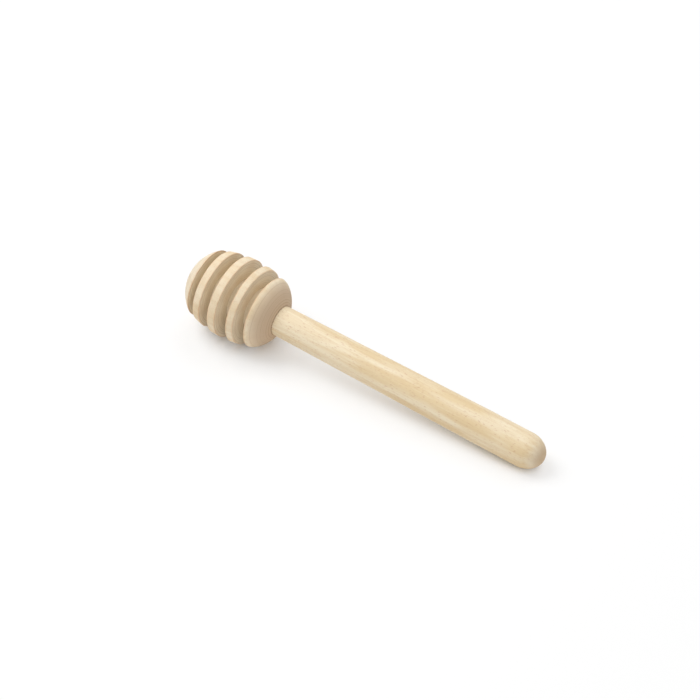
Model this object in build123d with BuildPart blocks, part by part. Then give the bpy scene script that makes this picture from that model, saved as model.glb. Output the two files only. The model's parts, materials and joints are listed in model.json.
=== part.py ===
from build123d import *
import os
from math import atan, cos, degrees, sin, sqrt

# A wooden honey dipper: a turned, grooved head with a turned handle glued into it
# It lies at rest on a ridge of its head and on its butt, with +X running from the head to the butt
# Lengths are millimetres, and stations run along the turning axis from the tip of the head

# Whole dipper
overall_length = 160.0

# Head, a barrel of ridges and grooves between a domed tip and a domed back
head_diameter = 32.9
widest_station = 21.8
barrel_bow_radius = 43.0
tip_dome_length = 7.4
groove_width = 4.2
ridge_width = 3.3
core_diameter = 16.4
back_dome_length = 5.8
back_dome_bow_radius = 13.0
back_land_diameter = 12.6

# Each groove and the ridge behind it, as shares of the named widths, because they were parted in by eye
groove_width_shares = [0.73, 1.02, 1.2, 1.06]
ridge_width_shares = [1.05, 1.09, 0.88, 0.41]

# Flat-bottomed socket drilled into the back of the head, a little wider and deeper than the tenon
glue_gap = 0.15
glue_well_depth = 1.0

# Handle, a tapered round with a tenon, a straight grip and a rounded butt
neck_diameter = 12.2
grip_diameter = 13.8
grip_length = 19.0
butt_round_length = 8.4
tenon_diameter = 9.0
tenon_length = 24.0
tenon_chamfer = 0.8

# Radii
head_radius = head_diameter / 2
core_radius = core_diameter / 2
back_land_radius = back_land_diameter / 2
neck_radius = neck_diameter / 2
grip_radius = grip_diameter / 2
tenon_radius = tenon_diameter / 2
socket_radius = tenon_radius + glue_gap


def barrel_radius(station):
    """Radius of the barrel's bowed outline at a station along the axis."""
    from_widest = station - widest_station
    return head_radius - barrel_bow_radius + sqrt(barrel_bow_radius**2 - from_widest**2)


# Corners of the ridges and grooves, from the rim of the tip dome to the rim of the domed back
ridge_corners = []
rim_station = tip_dome_length
for groove_width_share, ridge_width_share in zip(groove_width_shares, ridge_width_shares):
    ridge_corners.append((rim_station, barrel_radius(rim_station)))
    ridge_corners.append((rim_station, core_radius))
    rim_station += groove_width * groove_width_share
    ridge_corners.append((rim_station, core_radius))
    ridge_corners.append((rim_station, barrel_radius(rim_station)))
    rim_station += ridge_width * ridge_width_share
ridge_corners.append((rim_station, barrel_radius(rim_station)))

# Stations of the joint and of the handle
shoulder_station = rim_station + back_dome_length
tenon_end_station = shoulder_station - tenon_length
socket_floor_station = tenon_end_station - glue_well_depth
butt_station = overall_length - butt_round_length
grip_station = butt_station - grip_length


def slope_onto(corner):
    """Slope of the floor under a corner of the head and the elliptical butt, against the turning axis.

    The floor passes through the corner and is tangent to the butt's ellipse, which gives a quadratic.
    """
    corner_station, corner_radius = corner
    span = butt_station - corner_station
    square_term = span**2 - butt_round_length**2
    middle_term = corner_radius * span
    last_term = corner_radius**2 - grip_radius**2
    return (middle_term - sqrt(middle_term**2 - square_term * last_term)) / square_term


# The dipper rests on the corner that asks for the steepest floor
rest_tilt = atan(max(slope_onto(corner) for corner in ridge_corners))

# Place of the tip, with the floor at zero height and the origin under the middle of the dipper
front_rim_radius = barrel_radius(tip_dome_length)
tip_dome_radius = (front_rim_radius**2 + tip_dome_length**2) / (2 * tip_dome_length)
butt_drop = sqrt((butt_round_length * sin(rest_tilt)) ** 2 + (grip_radius * cos(rest_tilt)) ** 2)
butt_reach = sqrt((butt_round_length * cos(rest_tilt)) ** 2 + (grip_radius * sin(rest_tilt)) ** 2)
tip_height = butt_station * sin(rest_tilt) + butt_drop
front_end = tip_dome_radius * (cos(rest_tilt) - 1)
back_end = butt_station * cos(rest_tilt) + butt_reach
tip_x = -(front_end + back_end) / 2

# Plane of every half outline: its X is the turning axis, and its Y is the distance from that axis
turning_plane = Plane(
    origin=(tip_x, 0, tip_height),
    x_dir=(cos(rest_tilt), 0, -sin(rest_tilt)),
    z_dir=(0, -1, 0),
)
turning_axis = Axis(turning_plane.origin, turning_plane.x_dir)

# Dipper head, turned from one block, with a socket drilled into its back
with BuildPart() as dipper_head:
    with BuildSketch(turning_plane):
        with BuildLine():
            TangentArc((0, 0), ridge_corners[0], tangent=(0, 1))
            Polyline(*ridge_corners)
            back_land = (shoulder_station, back_land_radius)
            RadiusArc(ridge_corners[-1], back_land, back_dome_bow_radius)
            Polyline(
                back_land,
                (shoulder_station, socket_radius),
                (socket_floor_station, socket_radius),
                (socket_floor_station, 0),
                (0, 0),
            )
        make_face()
    revolve(axis=turning_axis)
dipper_head.part.label = "dipper_head"

# Handle, turned from one dowel, with its shoulder seated on the flat behind the domed back
with BuildPart() as handle:
    with BuildSketch(turning_plane):
        with BuildLine():
            butt = EllipticalCenterArc(
                (butt_station, 0), butt_round_length, grip_radius, start_angle=0, arc_size=90
            )
            Polyline(
                butt @ 1,
                (grip_station, grip_radius),
                (shoulder_station, neck_radius),
                (shoulder_station, tenon_radius),
                (tenon_end_station + tenon_chamfer, tenon_radius),
                (tenon_end_station, tenon_radius - tenon_chamfer),
                (tenon_end_station, 0),
                butt @ 0,
            )
        make_face()
    revolve(axis=turning_axis)
handle.part.label = "handle"

# Dried glue that fills the gap between the tenon and its socket
with BuildPart() as glue_film:
    with BuildSketch(turning_plane):
        with Locations((tenon_end_station + tenon_chamfer, tenon_radius)):
            Rectangle(tenon_length - tenon_chamfer, glue_gap, align=Align.MIN)
    revolve(axis=turning_axis)
glue_film.part.label = "glue_film"

# One file for each piece
os.makedirs("parts", exist_ok=True)
for piece in (dipper_head, handle, glue_film):
    export_step(piece.part, f"parts/{piece.part.label}.step")
    print(piece.part.label, round(piece.part.volume, 1), "cubic mm")
print("The axis slopes", round(degrees(rest_tilt), 2), "degrees down to the butt")
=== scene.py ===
"""A wooden honey dipper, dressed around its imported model.

Every length is in metres in the model's own frame, unless a name ends in _mm.
Stations run along the turning axis from the tip of the head to the butt of the handle.
"""

import json
import logging
import math
from dataclasses import dataclass, field, replace
from enum import Enum

import bpy
import numpy as np
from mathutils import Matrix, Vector


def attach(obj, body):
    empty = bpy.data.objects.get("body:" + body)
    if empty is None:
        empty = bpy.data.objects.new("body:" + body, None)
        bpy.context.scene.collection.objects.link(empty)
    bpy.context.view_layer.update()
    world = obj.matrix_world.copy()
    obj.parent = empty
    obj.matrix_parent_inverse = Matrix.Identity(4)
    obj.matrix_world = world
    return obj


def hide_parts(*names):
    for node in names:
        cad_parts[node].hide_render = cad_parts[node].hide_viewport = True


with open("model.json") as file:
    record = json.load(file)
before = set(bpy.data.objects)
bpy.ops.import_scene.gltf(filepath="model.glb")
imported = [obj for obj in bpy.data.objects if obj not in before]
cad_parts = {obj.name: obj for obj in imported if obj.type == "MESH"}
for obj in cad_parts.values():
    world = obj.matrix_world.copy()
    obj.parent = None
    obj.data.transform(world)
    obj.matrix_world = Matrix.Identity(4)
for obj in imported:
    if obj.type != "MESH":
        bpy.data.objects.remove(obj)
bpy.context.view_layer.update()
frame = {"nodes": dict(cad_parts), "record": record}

MM = 0.001
IMAGE_SIZE = 700
WHITE = (1.0, 1.0, 1.0, 1.0)
BLACK = (0.0, 0.0, 0.0, 1.0)
LOG = logging.getLogger("honey_dipper")

# Length over which the turn of a profile is measured
CORNER_REACH = 0.5 * MM
# Points of an outline closer than this share of its step count as one
SAME_POINT_SHARE = 0.01
# An outline counts as turning where its heading changes by more than this, in radians a step
CORNER_TURN = 0.002
# Range of the random weights of the waves in a ring wave
WAVE_WEIGHTS = (0.4, 1.0)
# A ring wave seldom peaks above this many times the root of its summed squared weights
WAVE_PEAK = 1.6


class Slot(Enum):
    """Names of the record's material slots for the head and the handle; nothing here uses them."""

    HEAD = "head_wood"
    HANDLE = "handle_wood"


class Ray(Enum):
    """The rays that see the plain background, by their outputs on the Light Path node."""

    CAMERA = "Is Camera Ray"
    GLOSSY = "Is Glossy Ray"
    TRANSMISSION = "Is Transmission Ray"


def linear_colour(hex_colour: str) -> tuple[float, float, float, float]:
    """Turns an sRGB hex colour into linear values.

    Args:
        hex_colour: Six hex digits, such as "e8d2a8".

    Returns:
        Red, green, blue and an alpha of one.
    """
    srgb = np.array([int(hex_colour[i : i + 2], 16) for i in (0, 2, 4)]) / 255.0
    low = srgb / 12.92
    high = ((srgb + 0.055) / 1.055) ** 2.4
    red, green, blue = np.where(srgb <= 0.04045, low, high)
    return float(red), float(green), float(blue), 1.0


@dataclass(frozen=True)
class TurningFrame:
    """The turning axis in the model's frame, read from the handle's mount.

    Attributes:
        tip: Point of the axis at station zero.
        along: Unit vector from the tip to the butt.
        up: Unit vector square to the axis, in the upright plane.
        side: Unit vector square to both.
    """

    tip: np.ndarray
    along: np.ndarray
    up: np.ndarray
    side: np.ndarray

    @classmethod
    def from_mount(cls, mount: dict, station: float) -> "TurningFrame":
        """Works the frame out from a mount on the axis.

        Args:
            mount: The record's mount, with its place and axis.
            station: The station of the mount's place.

        Returns:
            The turning frame.
        """
        along = np.array(mount["axis"], float)
        along /= np.linalg.norm(along)
        tip = np.array(mount["pos_m"], float) - along * station
        up = np.array([-along[2], 0.0, along[0]])
        return cls(tip, along, up, np.cross(along, up))

    @property
    def tilt(self) -> float:
        """Angle of the axis below the horizon, in radians."""
        return math.atan2(-self.along[2], self.along[0])

    def place(self, stations: np.ndarray, radii: np.ndarray, angles: np.ndarray) -> np.ndarray:
        """Points of a turned surface.

        Each is the tip, plus the axis by the station, plus a unit ring by the radius.

        Args:
            stations: Stations of the points.
            radii: Distances from the axis.
            angles: Angles about the axis, from up towards side.

        Returns:
            An array of points with one more dimension than its inputs.
        """
        ring = np.cos(angles)[..., None] * self.up + np.sin(angles)[..., None] * self.side
        return self.tip + stations[..., None] * self.along + radii[..., None] * ring


@dataclass
class Outline:
    """A half outline to turn about the axis, as a fine chain of points (station, radius)."""

    chain: list[np.ndarray] = field(default_factory=list)
    step: float = 0.02 * MM

    def line(self, start: tuple[float, float], end: tuple[float, float]) -> "Outline":
        """Adds a straight run from one point to another.

        Args:
            start: Station and radius where it starts.
            end: Station and radius where it ends.

        Returns:
            The outline, so that calls can follow each other.
        """
        return self.bow(start, end, 0.0)

    def bow(
        self, start: tuple[float, float], end: tuple[float, float], sagitta: float
    ) -> "Outline":
        """Adds a run that bulges away from its chord as one circular arc.

        The arc has radius (half chord squared + sagitta squared) / (2 sagitta), and the bulge
        lies to the left of the way from start to end.

        Args:
            start: Station and radius where it starts.
            end: Station and radius where it ends.
            sagitta: Height of the bulge above the chord.

        Returns:
            The outline, so that calls can follow each other.
        """
        first, last = np.array(start), np.array(end)
        chord = last - first
        length = float(np.hypot(*chord))
        count = max(int(length / self.step), 2)
        share = np.linspace(0.0, 1.0, count)[:, None]
        points = first + chord * share
        if sagitta:
            left = np.array([-chord[1], chord[0]]) / length
            radius = (length**2 / 4 + sagitta**2) / (2 * sagitta)
            offset = (share - 0.5) * length
            rise = np.sign(radius) * np.sqrt(radius**2 - offset**2) - (radius - sagitta)
            points = points + left * rise
        self.chain.append(points)
        return self

    def quarter_ellipse(
        self, centre: tuple[float, float], length: float, height: float
    ) -> "Outline":
        """Adds the end of a rounded butt.

        At angle a, the station is the centre's + length sin a, and the radius is the
        centre's + height cos a.

        Args:
            centre: Station and radius of the ellipse's centre.
            length: Half axis along the turning axis.
            height: Half axis across it.

        Returns:
            The outline, so that calls can follow each other.
        """
        count = int(2 * (length + height) / self.step)
        angle = np.linspace(0.0, math.pi / 2, count)
        stations = centre[0] + length * np.sin(angle)
        radii = centre[1] + height * np.cos(angle)
        self.chain.append(np.column_stack([stations, radii]))
        return self

    def softened(self, softness: float, spacing: float, corner_spacing: float) -> np.ndarray:
        """Rounds every corner and thins the chain, keeping more points where it turns.

        The chain is resampled evenly, and each point becomes the mean of its neighbours within
        the softness. Points are then kept one spacing apart, or one corner spacing where it turns.

        Args:
            softness: Length over which a corner is rounded.
            spacing: Distance between the points kept on straight runs.
            corner_spacing: Distance between the points kept round a corner.

        Returns:
            Rows of station and radius, with the ends as they were.
        """
        chain = np.concatenate(self.chain)
        steps = np.hypot(*np.diff(chain, axis=0).T)
        chain = chain[np.concatenate([[True], steps > self.step * SAME_POINT_SHARE])]
        length = np.concatenate([[0.0], np.cumsum(np.hypot(*np.diff(chain, axis=0).T))])
        even = np.linspace(0.0, length[-1], int(length[-1] / self.step))
        points = np.column_stack([np.interp(even, length, chain[:, k]) for k in (0, 1)])
        half = int(softness / self.step / 2)
        # Both ends lie on the axis, so the chain goes on past them as its mirror image
        mirror = np.array([1.0, -1.0])
        head = points[half:0:-1] * mirror
        tail = points[-2 : -half - 2 : -1] * mirror
        padded = np.concatenate([head, points, tail])
        window = np.ones(2 * half + 1) / (2 * half + 1)
        smooth = np.column_stack([np.convolve(padded[:, k], window, "valid") for k in (0, 1)])
        run = np.diff(smooth, axis=0)
        heading = np.unwrap(np.arctan2(run[:, 1], run[:, 0]))
        turn = np.abs(np.gradient(heading))
        denser = (1 / corner_spacing - 1 / spacing) * (turn > CORNER_TURN)
        pace = np.hypot(*run.T) * (1 / spacing + denser)
        travelled = np.concatenate([[0.0], np.cumsum(pace)])
        kept = np.linspace(0.0, travelled[-1], int(travelled[-1]) + 2)
        return np.column_stack([np.interp(kept, travelled, smooth[:, k]) for k in (0, 1)])


@dataclass(frozen=True)
class RingWave:
    """A smooth random wave round the axis.

    Attributes:
        cycles: The whole numbers of waves in a turn that are added up.
        seed: Seed of the random phases and weights.
        mean: Value that the wave swings about.
        swing: About how far it swings to either side.
    """

    cycles: range
    seed: int
    mean: float
    swing: float

    def at(self, angles: np.ndarray) -> np.ndarray:
        """The wave: mean + swing times a weighted sum of cosines with random phases.

        Args:
            angles: Angles about the axis.

        Returns:
            The wave at each angle.
        """
        random = np.random.default_rng(self.seed)
        counts = np.array(self.cycles)
        phases = random.uniform(0.0, 2 * math.pi, len(counts))
        weights = random.uniform(*WAVE_WEIGHTS, len(counts))
        waves = np.cos(angles[..., None] * counts + phases) * weights
        noise = waves.sum(-1) / (WAVE_PEAK * np.sqrt((weights**2).sum()))
        return self.mean + self.swing * noise


def ring_angles(segments: int) -> np.ndarray:
    """Even angles round the axis: the index times a full turn over the number of segments."""
    return np.arange(segments) * (2 * math.pi / segments)


def turned_mesh(
    name: str,
    profile: np.ndarray,
    turning: TurningFrame,
    segments: int,
    radii: np.ndarray,
    values: dict[str, np.ndarray],
) -> bpy.types.Object:
    """Makes a closed surface of revolution.

    It is a grid of profile points by angles, with a pole at each end.

    Args:
        name: Name of the object.
        profile: Rows of station and radius, from one pole to the other.
        turning: The axis to turn about.
        segments: Number of angles round the axis.
        radii: Radius at each inner profile point and angle.
        values: Named values at each inner profile point and angle, kept as attributes.

    Returns:
        The object, at the origin, with its place in its mesh.
    """
    inner = profile[1:-1]
    rows = len(inner)
    stations = np.repeat(inner[:, :1], segments, axis=1)
    grid = turning.place(stations, radii, np.broadcast_to(ring_angles(segments), (rows, segments)))
    poles = turning.tip + profile[[0, -1], :1] * turning.along
    points = np.concatenate([grid.reshape(-1, 3), poles])

    index = np.arange(rows * segments).reshape(rows, segments)
    after = np.roll(index, -1, axis=1)
    quads = np.stack([index[:-1], after[:-1], after[1:], index[1:]], axis=-1).reshape(-1, 4)
    first_fan = np.column_stack([after[0], index[0], np.full(segments, rows * segments)])
    last_fan = np.column_stack([index[-1], after[-1], np.full(segments, rows * segments + 1)])
    faces = [*quads.tolist(), *first_fan.tolist(), *last_fan.tolist()]

    mesh = bpy.data.meshes.new(name)
    mesh.from_pydata(points.tolist(), [], faces)
    mesh.polygons.foreach_set("use_smooth", np.ones(len(faces), bool))
    for label, value in values.items():
        flat = np.broadcast_to(value, (rows, segments)).reshape(-1)
        ends = [flat[:segments].mean(), flat[-segments:].mean()]
        layer = mesh.attributes.new(label, "FLOAT", "POINT")
        layer.data.foreach_set("value", np.concatenate([flat, ends]).astype(np.float32))
    mesh.update()
    piece = bpy.data.objects.new(name, mesh)
    bpy.context.scene.collection.objects.link(piece)
    if signed_volume(mesh) < 0:
        mesh.flip_normals()
    return piece


def signed_volume(mesh: bpy.types.Mesh) -> float:
    """Volume enclosed by a mesh, negative where its faces point inwards.

    It is the sum of a sixth of the triple products of the triangles' corners.

    Args:
        mesh: A closed mesh.

    Returns:
        The volume.
    """
    mesh.calc_loop_triangles()
    corners = np.zeros(len(mesh.vertices) * 3)
    mesh.vertices.foreach_get("co", corners)
    corners = corners.reshape(-1, 3)
    triangles = np.zeros(len(mesh.loop_triangles) * 3, np.int32)
    mesh.loop_triangles.foreach_get("vertices", triangles)
    first, second, third = corners[triangles.reshape(-1, 3)].transpose(1, 0, 2)
    return float(np.einsum("ij,ij->i", first, np.cross(second, third)).sum() / 6)


def profile_values(profile: np.ndarray, reach: float) -> tuple[np.ndarray, np.ndarray]:
    """How far each inner point of a profile faces along the axis, and how sharp a rim it is.

    Facing is the size of the normal's share along the axis. Sharpness is the angle by which the
    heading turns outwards within the reach, as a share of a right angle.

    Args:
        profile: Rows of station and radius, walked with the wood on the right.
        reach: Length over which the turn is measured.

    Returns:
        Facing and sharpness, from 0 to 1, at each inner point.
    """
    run = np.diff(profile, axis=0)
    length = np.hypot(*run.T)
    heading = np.unwrap(np.arctan2(run[:, 1], run[:, 0]))
    middles = np.cumsum(length) - length / 2
    at = np.cumsum(length)[:-1]
    before = np.interp(at - reach, middles, heading)
    behind = np.interp(at + reach, middles, heading)
    sharpness = np.clip((before - behind) / (math.pi / 2), 0.0, 1.0)
    facing = np.abs(np.sin((heading[:-1] + heading[1:]) / 2))
    return facing, sharpness


def add_node(
    tree: bpy.types.NodeTree,
    kind: str,
    links: dict[str | int, bpy.types.NodeSocket] | None = None,
    values: dict[str | int, object] | None = None,
    **settings: object,
) -> bpy.types.Node:
    """Adds a node with its settings, its socket values and its incoming links.

    Args:
        tree: The node tree to add to.
        kind: The node's type without its ShaderNode prefix.
        links: Output sockets to link in, by the name or number of the input.
        values: Plain values of inputs, by name or number.
        settings: Attributes of the node itself.

    Returns:
        The new node.
    """
    node = tree.nodes.new(f"ShaderNode{kind}")
    for key, value in settings.items():
        setattr(node, key, value)
    inputs = dict(enumerate(node.inputs))
    inputs.update({socket.name: socket for socket in node.inputs if socket.enabled})
    for key, value in (values or {}).items():
        inputs[key].default_value = value
    for key, socket in (links or {}).items():
        tree.links.new(socket, inputs[key])
    return node


def new_material(name: str) -> bpy.types.Material:
    """Makes a material that has no nodes yet.

    Args:
        name: Name of the material.

    Returns:
        The material.
    """
    material = bpy.data.materials.new(name)
    material.use_nodes = True
    material.node_tree.nodes.clear()
    return material


@dataclass(frozen=True)
class GrainPattern:
    """A noise drawn out along the grain of the wood.

    Attributes:
        length_mm: Length of one cell along the grain.
        width_mm: Width of one cell across the grain.
        seed: Fourth coordinate of the noise, so that no two patterns are alike.
        detail: Octaves of the noise.
        waver: How far the noise bends its own cells.
    """

    length_mm: float
    width_mm: float
    seed: float
    detail: float = 2.0
    waver: float = 0.0

    def draw(self, tree: bpy.types.NodeTree, grain: bpy.types.NodeSocket) -> bpy.types.NodeSocket:
        """Adds the pattern's nodes.

        Args:
            tree: The material's nodes.
            grain: Coordinates along and across the grain, in millimetres.

        Returns:
            The pattern, from 0 to 1.
        """
        cells = (1 / self.length_mm, 1 / self.width_mm, 1 / self.width_mm)
        stretched = add_node(tree, "VectorMath", {0: grain}, {1: cells}, operation="MULTIPLY")
        noise = add_node(
            tree,
            "TexNoise",
            {"Vector": stretched.outputs[0]},
            {"W": self.seed, "Scale": 1.0, "Detail": self.detail, "Distortion": self.waver},
            noise_dimensions="4D",
        )
        return noise.outputs["Fac"]


@dataclass(frozen=True)
class Stain:
    """A colour that lies over another where a pattern is strong.

    Attributes:
        colour: The colour in sRGB hex.
        starts: Value of the pattern where the stain starts.
        full: Value of the pattern where it reaches its strength.
        strength: Its share there, from 0 to 1.
    """

    colour: str
    starts: float
    full: float
    strength: float

    def lay(
        self, tree: bpy.types.NodeTree, under: bpy.types.NodeSocket, pattern: bpy.types.NodeSocket
    ) -> bpy.types.NodeSocket:
        """Adds the stain's nodes.

        Args:
            tree: The material's nodes.
            under: The colour below.
            pattern: Where the stain goes.

        Returns:
            The stained colour.
        """
        amount = add_node(
            tree,
            "MapRange",
            {"Value": pattern},
            {"From Min": self.starts, "From Max": self.full, "To Max": self.strength},
            interpolation_type="SMOOTHSTEP",
        )
        stained = add_node(
            tree,
            "Mix",
            {"Factor": amount.outputs["Result"], "A": under},
            {"B": linear_colour(self.colour)},
            data_type="RGBA",
        )
        return next(socket for socket in stained.outputs if socket.enabled)


@dataclass(frozen=True)
# The wood's end grain that faces away from the main lamp carries painted shade as a darker colour.
class BareBeech:
    """Bare European beech, turned and lightly sanded, with no oil or varnish.

    To the eye: pale cream wood without gloss, long fine fibres, short pinkish pore and ray flecks,
    faint growth rings, and greyer end grain with fine lathe lines and a warm tint along the rims.

    Attributes:
        name: Name of the material.
        cream: Colour of most of the side grain.
        patches: Broad uneven areas, with the stain that they carry.
        fibres: Fine long streaks, with their stain.
        pale_fibres: Paler streaks between them, with their stain.
        flecks: Pores and rays, with their stain. Real ones are about 0.1 mm wide, too fine to
            show, so they are drawn wider.
        late_wood: Stain of the dense side of each growth ring.
        ring_mm: Width of a growth ring.
        pith_mm: Place of the pith beside the axis, sideways and up.
        ring_slope: Climb of the rings along the axis, as a share of the length.
        end: Colour of the end grain.
        end_patches: Stain of the broad areas on the end grain.
        lathe: Stain of the lathe lines.
        lathe_mm: Distance between lathe lines. Real ones are about 0.1 mm apart, too fine to show,
            so they are drawn wider apart.
        end_pores: Open pores of the end grain, with their stain.
        painted_back_shade: Painted shade, a darker colour on the end grain of the domed back and
            the butt.
        rim: Stain of the rims, rubbed and warmed by the tool.
        joint: Stain of the line where the handle enters the head.
        ring_unevenness: How many ring widths the patches shift the rings by.
        late_wood_peak: Share of a ring's width at which its late wood is darkest.
        end_facings: Shares of the axis in the surface's normal between which side grain turns
            into end grain.
        relief_mm: Height of the fibres and lathe lines.
        relief_strength: How strongly that relief shades.
        roughness: Roughness of the sanded wood.
        ior: Refractive index of wood.
        gloss: Level of its reflection, low because it has no finish.
    """

    name: str
    cream: str
    patches: tuple[GrainPattern, Stain]
    fibres: tuple[GrainPattern, Stain]
    pale_fibres: tuple[GrainPattern, Stain]
    flecks: tuple[GrainPattern, Stain]
    late_wood: Stain
    ring_mm: float
    pith_mm: tuple[float, float]
    ring_slope: float
    end: str
    end_patches: Stain
    lathe: Stain
    lathe_mm: float
    end_pores: tuple[GrainPattern, Stain]
    painted_back_shade: Stain
    rim: Stain
    joint: Stain
    ring_unevenness: float = 3.0
    late_wood_peak: float = 0.88
    end_facings: tuple[float, float] = (0.25, 0.85)
    relief_mm: float = 0.06
    relief_strength: float = 0.5
    roughness: float = 0.68
    ior: float = 1.5
    gloss: float = 0.25

    def build(self, turning: TurningFrame) -> bpy.types.Material:
        """Makes the material, with its patterns laid along the turning axis in millimetres.

        Args:
            turning: The axis that the grain runs along.

        Returns:
            The material.
        """
        material = new_material(self.name)
        tree = material.node_tree
        place = add_node(tree, "TexCoord")
        mapping = add_node(
            tree,
            "Mapping",
            {"Vector": place.outputs["Object"]},
            {
                "Location": tuple(turning.tip),
                "Rotation": (0.0, turning.tilt, 0.0),
                "Scale": (MM, MM, MM),
            },
            vector_type="TEXTURE",
        )
        grain = mapping.outputs["Vector"]
        patches = self.patches[0].draw(tree, grain)
        fibres = self.fibres[0].draw(tree, grain)
        side = self.side_grain(tree, grain, patches, fibres)
        lathe = self.lathe_lines(tree)
        end = self.end_grain(tree, grain, patches, lathe)
        facing = add_node(tree, "Attribute", attribute_name="end_grain")
        rim = add_node(tree, "Attribute", attribute_name="rim")
        joint = add_node(tree, "Attribute", attribute_name="joint")
        across = add_node(
            tree,
            "MapRange",
            {"Value": facing.outputs["Fac"]},
            {"From Min": self.end_facings[0], "From Max": self.end_facings[1]},
            interpolation_type="SMOOTHSTEP",
        ).outputs["Result"]
        both = add_node(tree, "Mix", {"Factor": across, "A": side, "B": end}, data_type="RGBA")
        colour = next(socket for socket in both.outputs if socket.enabled)
        colour = self.rim.lay(tree, colour, rim.outputs["Fac"])
        colour = self.joint.lay(tree, colour, joint.outputs["Fac"])

        lathe_height = add_node(tree, "Math", {0: lathe, 1: across}, operation="MULTIPLY")
        height = add_node(tree, "Math", {0: fibres, 1: lathe_height.outputs[0]}, operation="ADD")
        bump = add_node(
            tree,
            "Bump",
            {"Height": height.outputs[0]},
            {"Strength": self.relief_strength, "Distance": self.relief_mm * MM},
        )
        shader = add_node(
            tree,
            "BsdfPrincipled",
            {"Base Color": colour, "Normal": bump.outputs["Normal"]},
            {"Roughness": self.roughness, "IOR": self.ior, "Specular IOR Level": self.gloss},
        )
        add_node(tree, "OutputMaterial", {"Surface": shader.outputs["BSDF"]})
        return material

    def side_grain(
        self,
        tree: bpy.types.NodeTree,
        grain: bpy.types.NodeSocket,
        patches: bpy.types.NodeSocket,
        fibres: bpy.types.NodeSocket,
    ) -> bpy.types.NodeSocket:
        """The colour of wood cut along the grain: cream, stained by each pattern in turn.

        Args:
            tree: The material's nodes.
            grain: Coordinates along and across the grain, in millimetres.
            patches: The broad uneven areas.
            fibres: The fine long streaks.

        Returns:
            The colour.
        """
        colour = add_node(tree, "RGB").outputs[0]
        colour.default_value = linear_colour(self.cream)
        colour = self.patches[1].lay(tree, colour, patches)
        colour = self.late_wood.lay(tree, colour, self.growth_rings(tree, grain, patches))
        colour = self.fibres[1].lay(tree, colour, fibres)
        for pattern, stain in (self.pale_fibres, self.flecks):
            colour = stain.lay(tree, colour, pattern.draw(tree, grain))
        return colour

    def growth_rings(
        self, tree: bpy.types.NodeTree, grain: bpy.types.NodeSocket, patches: bpy.types.NodeSocket
    ) -> bpy.types.NodeSocket:
        """Growth rings: the distance from a leaning pith, shifted by the patches, in ring widths.

        Each ring darkens slowly from its early side and ends sharply at its late side.

        Args:
            tree: The material's nodes.
            grain: Coordinates along and across the grain, in millimetres.
            patches: The broad uneven areas.

        Returns:
            How much late wood there is, from 0 to 1.
        """
        centred = add_node(
            tree, "VectorMath", {0: grain}, {1: (0.0, *self.pith_mm)}, operation="SUBTRACT"
        )
        parts = add_node(tree, "SeparateXYZ", {0: centred.outputs[0]})
        across = add_node(tree, "CombineXYZ", {0: parts.outputs["Y"], 1: parts.outputs["Z"]})
        distance = add_node(tree, "VectorMath", {0: across.outputs[0]}, operation="LENGTH")
        leaning = add_node(
            tree,
            "Math",
            {0: parts.outputs["X"], 2: distance.outputs["Value"]},
            {1: self.ring_slope},
            operation="MULTIPLY_ADD",
        )
        uneven = add_node(
            tree,
            "Math",
            {0: patches, 2: leaning.outputs[0]},
            {1: self.ring_unevenness * self.ring_mm},
            operation="MULTIPLY_ADD",
        )
        count = add_node(
            tree, "Math", {0: uneven.outputs[0]}, {1: self.ring_mm}, operation="DIVIDE"
        )
        share = add_node(tree, "Math", {0: count.outputs[0]}, operation="FRACT")
        ramp = add_node(tree, "ValToRGB", {0: share.outputs[0]})
        ramp.color_ramp.interpolation = "EASE"
        ramp.color_ramp.elements[0].color = BLACK
        ramp.color_ramp.elements[1].position = self.late_wood_peak
        ramp.color_ramp.elements[1].color = WHITE
        ramp.color_ramp.elements.new(1.0).color = BLACK
        return ramp.outputs["Color"]

    def lathe_lines(self, tree: bpy.types.NodeTree) -> bpy.types.NodeSocket:
        """Fine rings that the tool leaves on faces across the axis: a noise of the radius alone.

        Args:
            tree: The material's nodes.

        Returns:
            The lines, from 0 to 1.
        """
        radius = add_node(tree, "Attribute", attribute_name="radius_mm")
        noise = add_node(
            tree,
            "TexNoise",
            {"W": radius.outputs["Fac"]},
            {"Scale": 1 / self.lathe_mm, "Detail": 2.0, "Roughness": 0.7},
            noise_dimensions="1D",
        )
        return noise.outputs["Fac"]

    def end_grain(
        self,
        tree: bpy.types.NodeTree,
        grain: bpy.types.NodeSocket,
        patches: bpy.types.NodeSocket,
        lathe: bpy.types.NodeSocket,
    ) -> bpy.types.NodeSocket:
        """The colour of wood cut across the grain.

        Args:
            tree: The material's nodes.
            grain: Coordinates along and across the grain, in millimetres.
            patches: The broad uneven areas.
            lathe: The lathe lines.

        Returns:
            The colour.
        """
        colour = add_node(tree, "RGB").outputs[0]
        colour.default_value = linear_colour(self.end)
        colour = self.end_patches.lay(tree, colour, patches)
        # Painted shade: the end grain of the domed back and the butt, which face away from the main
        # lamp, is laid darker
        painted_back_shade = add_node(tree, "Attribute", attribute_name="painted_back_shade")
        colour = self.painted_back_shade.lay(tree, colour, painted_back_shade.outputs["Fac"])
        colour = self.lathe.lay(tree, colour, lathe)
        pattern, stain = self.end_pores
        return stain.lay(tree, colour, pattern.draw(tree, grain))


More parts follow.
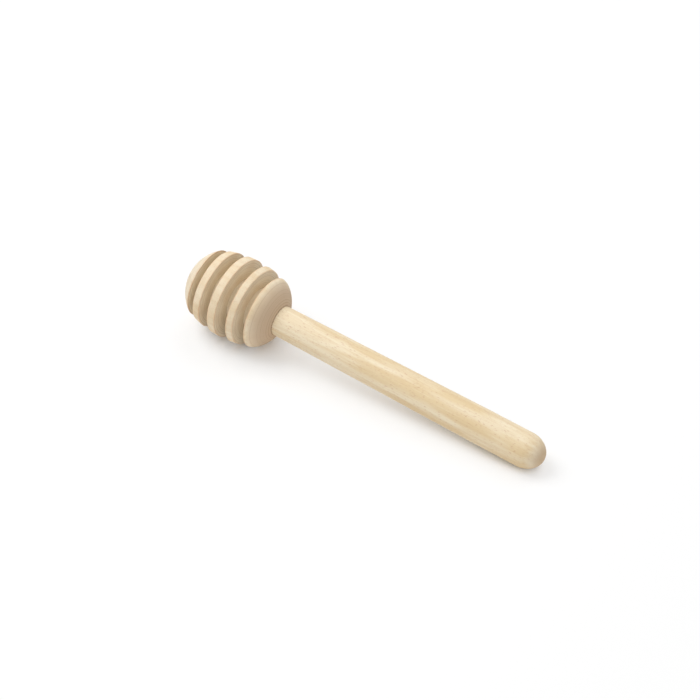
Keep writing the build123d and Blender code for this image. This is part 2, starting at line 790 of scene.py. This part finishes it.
@dataclass(frozen=True)
class DriedGlue:
    """Dried white wood glue: a translucent amber film with a dull gloss, uneven in tone.

    Attributes:
        name: Name of the material.
        amber: Colour of the film.
        thick: Stain where it is thicker.
        blotches: Pattern of the thicker places.
        relief_mm: Height of the blotches.
        relief_strength: How strongly that relief shades.
        roughness: Roughness of the dry film.
        gloss: Level of its reflection.
    """

    name: str = "dried_wood_glue"
    amber: str = "d9c08c"
    thick: Stain = Stain("b98f55", 0.42, 0.68, 0.7)
    blotches: GrainPattern = GrainPattern(2.5, 1.2, 4.0, detail=3.0)
    relief_mm: float = 0.05
    relief_strength: float = 0.4
    roughness: float = 0.38
    gloss: float = 0.45

    def build(self) -> bpy.types.Material:
        """Makes the material.

        Returns:
            The material.
        """
        material = new_material(self.name)
        tree = material.node_tree
        place = add_node(tree, "TexCoord")
        in_mm = add_node(
            tree, "VectorMath", {0: place.outputs["Object"]}, {"Scale": 1 / MM}, operation="SCALE"
        )
        blotches = self.blotches.draw(tree, in_mm.outputs[0])
        amber = add_node(tree, "RGB").outputs[0]
        amber.default_value = linear_colour(self.amber)
        colour = self.thick.lay(tree, amber, blotches)
        bump = add_node(
            tree,
            "Bump",
            {"Height": blotches},
            {"Strength": self.relief_strength, "Distance": self.relief_mm * MM},
        )
        shader = add_node(
            tree,
            "BsdfPrincipled",
            {"Base Color": colour, "Normal": bump.outputs["Normal"]},
            {"Roughness": self.roughness, "Specular IOR Level": self.gloss},
        )
        add_node(tree, "OutputMaterial", {"Surface": shader.outputs["BSDF"]})
        return material


@dataclass
class DipperHead:
    """The turned head: a barrel of ridges and grooves between two domes, with a blind socket.

    Its first lengths, up to the socket's depth, repeat the model's.

    Attributes:
        rim_softness: Length over which a rim is rounded.
        straight_spacing: Distance between profile points on straight runs.
        corner_spacing: Distance between profile points round a corner.
        core_margin: Times the core's radius, below which a face counts as the core's.
        winding: Radians that the chips and notches wind round in each metre.
        chip_depth: Deepest chip in a rim.
        chip_wave: Where the chips are, above zero.
        joint_width: Distance from the neck over which the joint line fades.
        joint_depth: Distance from the shoulder within which it shows.
        notch_wave: Unevenness of the joint line.
        rim_wave: Unevenness of the rims' warm tint.
        back_shade_fade: Length behind the last rim over which the painted shade of the back comes
            in.
        segments: Number of angles round the axis.
    """

    head_radius: float = 16.45 * MM
    widest_station: float = 21.8 * MM
    barrel_bow_radius: float = 43.0 * MM
    tip_dome_length: float = 7.4 * MM
    groove_width: float = 4.2 * MM
    ridge_width: float = 3.3 * MM
    groove_width_shares: tuple[float, ...] = (0.73, 1.02, 1.2, 1.06)
    ridge_width_shares: tuple[float, ...] = (1.05, 1.09, 0.88, 0.41)
    core_radius: float = 8.2 * MM
    back_dome_length: float = 5.8 * MM
    back_dome_bow_radius: float = 13.0 * MM
    back_land_radius: float = 6.3 * MM
    socket_radius: float = 4.65 * MM
    socket_depth: float = 25.0 * MM
    rim_softness: float = 0.35 * MM
    straight_spacing: float = 0.75 * MM
    corner_spacing: float = 0.13 * MM
    core_margin: float = 1.05
    winding: float = 700.0
    chip_depth: float = 0.10 * MM
    chip_wave: RingWave = RingWave(range(9, 60), seed=3, mean=-0.33, swing=1.0)
    joint_width: float = 0.30 * MM
    joint_depth: float = 0.8 * MM
    notch_wave: RingWave = RingWave(range(12, 64), seed=5, mean=0.65, swing=0.35)
    rim_wave: RingWave = RingWave(range(3, 40), seed=7, mean=0.75, swing=0.25)
    back_shade_fade: float = 0.5 * MM
    segments: int = 240

    def barrel(self, station: float) -> tuple[float, float]:
        """A point of the barrel: its radius falls off as a circle of the bow radius does.

        Args:
            station: Station of the point.

        Returns:
            Its station and radius.
        """
        drop = self.barrel_bow_radius - math.sqrt(
            self.barrel_bow_radius**2 - (station - self.widest_station) ** 2
        )
        return station, self.head_radius - drop

    @property
    def last_rim_station(self) -> float:
        """Station of the rim between the last ridge and the domed back."""
        grooves = self.groove_width * sum(self.groove_width_shares)
        return self.tip_dome_length + grooves + self.ridge_width * sum(self.ridge_width_shares)

    @property
    def shoulder_station(self) -> float:
        """Station where the handle's shoulder seats."""
        return self.last_rim_station + self.back_dome_length

    @staticmethod
    def sagitta(start: tuple[float, float], end: tuple[float, float], radius: float) -> float:
        """Height of an arc above its chord: the radius less the root of radius and half squared.

        Args:
            start: Station and radius where the arc starts.
            end: Station and radius where it ends.
            radius: Radius of the arc.

        Returns:
            The height.
        """
        half = math.dist(start, end) / 2
        return radius - math.sqrt(radius**2 - half**2)

    def outline(self) -> np.ndarray:
        """The head's half outline, from the tip over the ridges and the back into the socket.

        Returns:
            Rows of station and radius.
        """
        outline = Outline()
        rim = self.barrel(self.tip_dome_length)
        dome_radius = (rim[0] ** 2 + rim[1] ** 2) / (2 * rim[0])
        outline.bow((0.0, 0.0), rim, self.sagitta((0.0, 0.0), rim, dome_radius))
        for groove_share, ridge_share in zip(self.groove_width_shares, self.ridge_width_shares):
            floor_start = (rim[0], self.core_radius)
            floor_end = (rim[0] + self.groove_width * groove_share, self.core_radius)
            ridge_start = self.barrel(floor_end[0])
            ridge_end = self.barrel(floor_end[0] + self.ridge_width * ridge_share)
            outline.line(rim, floor_start).line(floor_start, floor_end)
            outline.line(floor_end, ridge_start)
            crest = self.sagitta(ridge_start, ridge_end, self.barrel_bow_radius)
            outline.bow(ridge_start, ridge_end, crest)
            rim = ridge_end
        land = (self.shoulder_station, self.back_land_radius)
        mouth = (self.shoulder_station, self.socket_radius)
        floor = (self.shoulder_station - self.socket_depth, self.socket_radius)
        outline.bow(rim, land, self.sagitta(rim, land, self.back_dome_bow_radius))
        outline.line(land, mouth).line(mouth, floor).line(floor, (floor[0], 0.0))
        return outline.softened(self.rim_softness, self.straight_spacing, self.corner_spacing)

    def build(
        self, turning: TurningFrame, neck_radius: float, finish: BareBeech
    ) -> bpy.types.Object:
        """Makes the head and dresses it.

        Small chips are pressed into the rims: the radius drops where the chip wave is above
        zero, by the chip depth times the wave times how sharp the rim is.

        Args:
            turning: The axis to turn about.
            neck_radius: Radius of the handle where it leaves the head.
            finish: The wood.

        Returns:
            The finished piece.
        """
        profile = self.outline()
        facing, sharpness = profile_values(profile, CORNER_REACH)
        stations, radii = profile[1:-1, 0], profile[1:-1, 1]
        on_core = (radii < self.core_radius * self.core_margin) & (stations < self.last_rim_station)
        facing = np.where(on_core, 1.0, facing)
        wound = ring_angles(self.segments)[None, :] + stations[:, None] * self.winding
        chips = np.clip(self.chip_wave.at(wound), 0.0, 1.0)
        radius_grid = radii[:, None] - self.chip_depth * sharpness[:, None] * chips
        near_joint = np.exp(-(((radii - neck_radius) / self.joint_width) ** 2))
        near_joint *= np.abs(stations - self.shoulder_station) < self.joint_depth
        behind = np.clip((stations - self.last_rim_station) / self.back_shade_fade, 0.0, 1.0)
        notches = self.notch_wave.at(wound)
        values = {
            "end_grain": facing[:, None],
            "rim": sharpness[:, None] * self.rim_wave.at(wound),
            # Painted shade marks the end grain of the domed back, which faces away from the main
            # lamp
            "painted_back_shade": (facing * behind * (radii > self.socket_radius))[:, None],
            "radius_mm": radii[:, None] / MM,
            "joint": np.clip(near_joint[:, None] * notches, 0.0, 1.0),
        }
        piece = turned_mesh("turned_head", profile, turning, self.segments, radius_grid, values)
        piece.data.materials.append(finish.build(turning))
        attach(piece, "root")
        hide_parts("dipper_head")
        return piece


@dataclass
class Handle:
    """The turned handle: a tenon, a shoulder, a long taper, a straight grip and a rounded butt.

    Its first lengths, up to the tenon's chamfer, repeat the model's.

    Attributes:
        edge_softness: Length over which an edge is rounded.
        straight_spacing: Distance between profile points on straight runs.
        corner_spacing: Distance between profile points round a corner.
        unevenness: How far sanding takes the surface down.
        drift: Radians that the unevenness winds round in each metre.
        dent_wave: Share of the unevenness taken off.
        skin_margin: Times the neck's radius, above which a face counts as the outside.
        joint_width: Distance from the shoulder over which the joint line fades.
        notch_wave: Unevenness of the joint line.
        segments: Number of angles round the axis.
    """

    shoulder_station: float
    overall_length: float = 160.0 * MM
    neck_radius: float = 6.1 * MM
    grip_radius: float = 6.9 * MM
    grip_length: float = 19.0 * MM
    butt_round_length: float = 8.4 * MM
    tenon_radius: float = 4.5 * MM
    tenon_length: float = 24.0 * MM
    tenon_chamfer: float = 0.8 * MM
    edge_softness: float = 0.5 * MM
    straight_spacing: float = 0.7 * MM
    corner_spacing: float = 0.12 * MM
    unevenness: float = 0.03 * MM
    drift: float = 12.0
    dent_wave: RingWave = RingWave(range(1, 5), seed=11, mean=0.5, swing=-0.5)
    skin_margin: float = 0.99
    joint_width: float = 0.28 * MM
    notch_wave: RingWave = RingWave(range(14, 60), seed=13, mean=0.5, swing=0.5)
    segments: int = 240

    @property
    def butt_station(self) -> float:
        """Station where the butt starts to round."""
        return self.overall_length - self.butt_round_length

    def outline(self) -> np.ndarray:
        """The handle's half outline, from the end of the tenon to the butt.

        Returns:
            Rows of station and radius.
        """
        tenon_end = self.shoulder_station - self.tenon_length
        chamfer_start = (tenon_end, self.tenon_radius - self.tenon_chamfer)
        chamfer_end = (tenon_end + self.tenon_chamfer, self.tenon_radius)
        inner_shoulder = (self.shoulder_station, self.tenon_radius)
        outer_shoulder = (self.shoulder_station, self.neck_radius)
        grip = (self.butt_station - self.grip_length, self.grip_radius)
        butt = (self.butt_station, self.grip_radius)
        outline = Outline()
        outline.line((tenon_end, 0.0), chamfer_start).line(chamfer_start, chamfer_end)
        outline.line(chamfer_end, inner_shoulder).line(inner_shoulder, outer_shoulder)
        outline.line(outer_shoulder, grip).line(grip, butt)
        outline.quarter_ellipse((self.butt_station, 0.0), self.butt_round_length, self.grip_radius)
        return outline.softened(self.edge_softness, self.straight_spacing, self.corner_spacing)

    def build(self, turning: TurningFrame, finish: BareBeech) -> bpy.types.Object:
        """Makes the handle and dresses it.

        Sanding leaves it slightly uneven: the radius drops by the unevenness times the dent
        wave, which drifts slowly round along the axis.

        Args:
            turning: The axis to turn about.
            finish: The wood.

        Returns:
            The finished piece.
        """
        profile = self.outline()
        facing, _ = profile_values(profile, CORNER_REACH)
        stations, radii = profile[1:-1, 0], profile[1:-1, 1]
        angles = ring_angles(self.segments)
        dents = self.dent_wave.at(angles[None, :] + stations[:, None] * self.drift)
        outside = radii > self.neck_radius * self.skin_margin
        outside &= stations > self.shoulder_station
        radius_grid = radii[:, None] - self.unevenness * dents * outside[:, None]
        near_joint = np.exp(-(((stations - self.shoulder_station) / self.joint_width) ** 2))
        notches = self.notch_wave.at(angles)
        values = {
            "end_grain": facing[:, None],
            # Painted shade marks the end of the rounded butt, which faces away from the main lamp
            "painted_back_shade": (facing**2 * (stations > self.butt_station))[:, None],
            "rim": np.zeros_like(radii)[:, None],
            "radius_mm": radii[:, None] / MM,
            "joint": np.clip(near_joint[:, None] * notches[None, :], 0.0, 1.0),
        }
        piece = turned_mesh("turned_handle", profile, turning, self.segments, radius_grid, values)
        piece.data.materials.append(finish.build(turning))
        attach(piece, "root")
        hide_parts("handle")
        return piece


@dataclass
class GlueFilm:
    """The dried glue between tenon and socket, in the model's own shape with a new finish."""

    node: str = "glue_film"

    def build(self, finish: DriedGlue) -> bpy.types.Object:
        """Gives the model's piece its material.

        Args:
            finish: The glue.

        Returns:
            The piece.
        """
        piece = frame["nodes"][self.node]
        piece.data.materials.clear()
        piece.data.materials.append(finish.build())
        return piece


@dataclass(frozen=True)
class Lamp:
    """A round soft lamp that faces the middle of the dipper.

    Attributes:
        name: Name of the lamp.
        azimuth: Degrees from the +X axis towards +Y.
        elevation: Degrees above the table.
        share: Share of full white that it gives the open table by itself.
        distance: From the lamp to the middle of the table.
        diameter: Its width across.
    """

    name: str
    azimuth: float
    elevation: float
    share: float
    distance: float = 1.5
    diameter: float = 1.0

    def hang(self) -> bpy.types.Object:
        """Makes the lamp.

        A disc of power P at distance d and elevation e gives a white table the radiance
        P sin(e) / (pi d) squared, so the power is worked back from the share.

        Returns:
            The lamp.
        """
        azimuth, elevation = math.radians(self.azimuth), math.radians(self.elevation)
        towards = Vector(
            (
                math.cos(azimuth) * math.cos(elevation),
                math.sin(azimuth) * math.cos(elevation),
                math.sin(elevation),
            )
        )
        data = bpy.data.lights.new(self.name, "AREA")
        data.shape = "DISK"
        data.size = self.diameter
        data.energy = self.share * (math.pi * self.distance) ** 2 / math.sin(elevation)
        lamp = bpy.data.objects.new(self.name, data)
        lamp.location = towards * self.distance
        lamp.rotation_euler = towards.to_track_quat("Z", "Y").to_euler()
        bpy.context.scene.collection.objects.link(lamp)
        return lamp


@dataclass
class Studio:
    """A white table under soft lamps, and the camera that the dipper is seen through.

    Attributes:
        focal_length_px: Focal length in pixels of the square image.
        azimuth: Degrees that the camera stands round from the -Y side, towards +X.
        elevation: Degrees above the table.
        distance: From the camera to the target.
        target: Point of the table at the middle of the image.
        sensor_width_mm: Width of the camera's sensor, which the focal length is turned into.
        table_size: Side of the square table.
        table_colour: Colour of the table where other light than the camera's meets it.
        shadow_strength: How strongly the table's open shadows show, as a share of real ones. They
            grow to full strength close under the wood.
        contact_reach: How far over the table wood counts as close.
        contact_openings: Shares of open sky within that reach between which shadows go from full
            strength to the open shadows' one.
        ambient: Share of full white that the pale room gives the open table.
        lamps: The soft lamps.
    """

    focal_length_px: float = 2500.0
    azimuth: float = 34.09
    elevation: float = 42.92
    distance: float = 970.2 * MM
    target: tuple[float, float, float] = (-16.06 * MM, 14.56 * MM, 0.0)
    sensor_width_mm: float = 36.0
    table_size: float = 6.0
    table_colour: str = "f3f1ef"
    shadow_strength: float = 0.45
    contact_reach: float = 18.0 * MM
    contact_openings: tuple[float, float] = (0.2, 0.62)
    ambient: float = 0.42
    lamps: tuple[Lamp, ...] = (
        Lamp("window_left", azimuth=190.0, elevation=58.0, share=0.44),
        Lamp("window_behind", azimuth=90.0, elevation=60.0, share=0.17),
        Lamp("window_front", azimuth=320.0, elevation=36.0, share=0.08),
    )

    def camera(self) -> bpy.types.Object:
        """Places the camera by its angles and distance, looking at the target.

        Returns:
            The camera.
        """
        azimuth, elevation = math.radians(self.azimuth), math.radians(self.elevation)
        back = Vector(
            (
                math.sin(azimuth) * math.cos(elevation),
                -math.cos(azimuth) * math.cos(elevation),
                math.sin(elevation),
            )
        )
        data = bpy.data.cameras.new("camera")
        data.sensor_width = self.sensor_width_mm
        data.lens = self.focal_length_px * self.sensor_width_mm / IMAGE_SIZE
        camera = bpy.data.objects.new("camera", data)
        camera.location = Vector(self.target) + back * self.distance
        camera.rotation_euler = back.to_track_quat("Z", "Y").to_euler()
        bpy.context.scene.collection.objects.link(camera)
        bpy.context.scene.camera = camera
        return camera

    def background_rays(self, tree: bpy.types.NodeTree) -> bpy.types.NodeSocket:
        """Marks the rays that see the plain background, by the largest of their outputs.

        Args:
            tree: The nodes of a material or the world.

        Returns:
            One where a ray comes from the camera or off gloss or glass, and zero elsewhere.
        """
        path = add_node(tree, "LightPath")
        seen = path.outputs[Ray.CAMERA.value]
        for ray in (Ray.GLOSSY, Ray.TRANSMISSION):
            links = {0: seen, 1: path.outputs[ray.value]}
            seen = add_node(tree, "Math", links, operation="MAXIMUM").outputs[0]
        return seen

    def table(self) -> bpy.types.Object:
        """Makes the table, a white sheet that keeps the dipper's shadow.

        To the camera it is part card and part plain white glow, so that it reaches full white
        where no shadow falls. To all other light it is plain card.

        Returns:
            The table.
        """
        half = self.table_size / 2
        corners = [(-half, -half, 0.0), (half, -half, 0.0), (half, half, 0.0), (-half, half, 0.0)]
        mesh = bpy.data.meshes.new("table")
        mesh.from_pydata(corners, [], [(0, 1, 2, 3)])
        table = bpy.data.objects.new("table", mesh)
        bpy.context.scene.collection.objects.link(table)
        material = new_material("matt_white_card")
        tree = material.node_tree
        card = add_node(tree, "BsdfDiffuse", values={"Color": linear_colour(self.table_colour)})
        white = add_node(tree, "BsdfDiffuse", values={"Color": WHITE})
        glow = add_node(tree, "Emission", values={"Strength": 1.0})
        openness = add_node(tree, "AmbientOcclusion", values={"Distance": self.contact_reach})
        closed, clear = self.contact_openings
        limits = {"From Min": closed, "From Max": clear, "To Min": 1.0}
        limits["To Max"] = self.shadow_strength
        strength = add_node(tree, "MapRange", {"Value": openness.outputs["AO"]}, limits)
        shown = add_node(
            tree,
            "MixShader",
            {0: strength.outputs["Result"], 1: glow.outputs[0], 2: white.outputs[0]},
        )
        surface = add_node(
            tree,
            "MixShader",
            {0: self.background_rays(tree), 1: card.outputs[0], 2: shown.outputs[0]},
        )
        add_node(tree, "OutputMaterial", {"Surface": surface.outputs[0]})
        mesh.materials.append(material)
        return table

    def room(self) -> bpy.types.World:
        """Sets the pale room: white where the camera sees it, and a soft light elsewhere.

        Returns:
            The world.
        """
        world = bpy.data.worlds.new("pale_room")
        world.use_nodes = True
        tree = world.node_tree
        tree.nodes.clear()
        strength = add_node(
            tree, "MapRange", {"Value": self.background_rays(tree)}, {"To Min": self.ambient}
        )
        room = add_node(
            tree,
            "Background",
            {"Strength": strength.outputs["Result"]},
            {"Color": WHITE},
        )
        add_node(tree, "OutputWorld", {"Surface": room.outputs[0]})
        bpy.context.scene.world = world
        return world

    def build(self) -> None:
        """Sets up the table, the room, the lamps and the camera."""
        bpy.context.scene.view_settings.view_transform = "Standard"
        self.table()
        self.room()
        for lamp in self.lamps:
            lamp.hang()
        self.camera()


HEAD_BEECH = BareBeech(
    name="turned_bare_beech_head",
    cream="f5e5c9",
    patches=(GrainPattern(28.0, 6.0, 3.0), Stain("efd9b5", 0.38, 0.66, 1.0)),
    fibres=(GrainPattern(7.0, 0.42, 5.0, detail=4.0), Stain("e0c39b", 0.50, 0.80, 0.3)),
    pale_fibres=(GrainPattern(5.0, 0.45, 6.0, detail=3.0), Stain("f8ecd6", 0.52, 0.75, 0.3)),
    flecks=(GrainPattern(0.8, 0.34, 2.0), Stain("cfa883", 0.58, 0.72, 0.5)),
    late_wood=Stain("dcc098", 0.0, 1.0, 0.2),
    ring_mm=2.6,
    pith_mm=(21.0, -34.0),
    ring_slope=0.02,
    end="efe2ca",
    end_patches=Stain("e6d3b6", 0.35, 0.70, 0.6),
    lathe=Stain("b59a7c", 0.50, 0.78, 0.6),
    lathe_mm=0.55,
    end_pores=(GrainPattern(1.1, 0.38, 11.0, detail=3.0), Stain("c2a486", 0.55, 0.75, 0.4)),
    # Painted shade of the domed back, laid as a darker colour
    painted_back_shade=Stain("cdb498", 0.0, 0.9, 0.95),
    rim=Stain("dba876", 0.20, 0.90, 0.45),
    joint=Stain("7d5a3c", 0.10, 1.0, 0.85),
)
HANDLE_BEECH = replace(
    HEAD_BEECH,
    name="sanded_bare_beech_handle",
    cream="f6e7ca",
    patches=(GrainPattern(34.0, 3.6, 13.0), Stain("ead3aa", 0.40, 0.64, 1.0)),
    fibres=(GrainPattern(16.0, 0.38, 15.0, detail=4.0), Stain("dfc294", 0.50, 0.78, 0.5)),
    pale_fibres=(GrainPattern(12.0, 0.4, 16.0, detail=3.0), Stain("f8ecd2", 0.52, 0.75, 0.4)),
    flecks=(GrainPattern(1.3, 0.34, 12.0), Stain("cfa37e", 0.58, 0.70, 0.6)),
    late_wood=Stain("dfc191", 0.0, 1.0, 0.22),
    lathe=Stain("b59a7c", 0.50, 0.78, 0.15),
    # Painted shade of the butt's end, laid as a darker colour
    painted_back_shade=Stain("d2b896", 0.0, 0.9, 0.9),
    ring_mm=3.4,
    pith_mm=(-30.0, 52.0),
    ring_slope=0.045,
)


def main() -> None:
    """Builds the dipper's pieces and the studio."""
    logging.basicConfig(level=logging.INFO, format="%(name)s: %(message)s")
    head = DipperHead()
    handle = Handle(shoulder_station=head.shoulder_station)
    grip = next(mount for mount in frame["record"]["mounts"] if mount["name"] == "handle_grip")
    turning = TurningFrame.from_mount(grip, handle.butt_station - handle.grip_length / 2)
    pieces = [
        head.build(turning, handle.neck_radius, HEAD_BEECH),
        handle.build(turning, HANDLE_BEECH),
        GlueFilm().build(DriedGlue()),
    ]
    for piece in pieces:
        LOG.info("%s has %d faces", piece.name, len(piece.data.polygons))
    Studio().build()


if __name__ == "__main__":
    main()
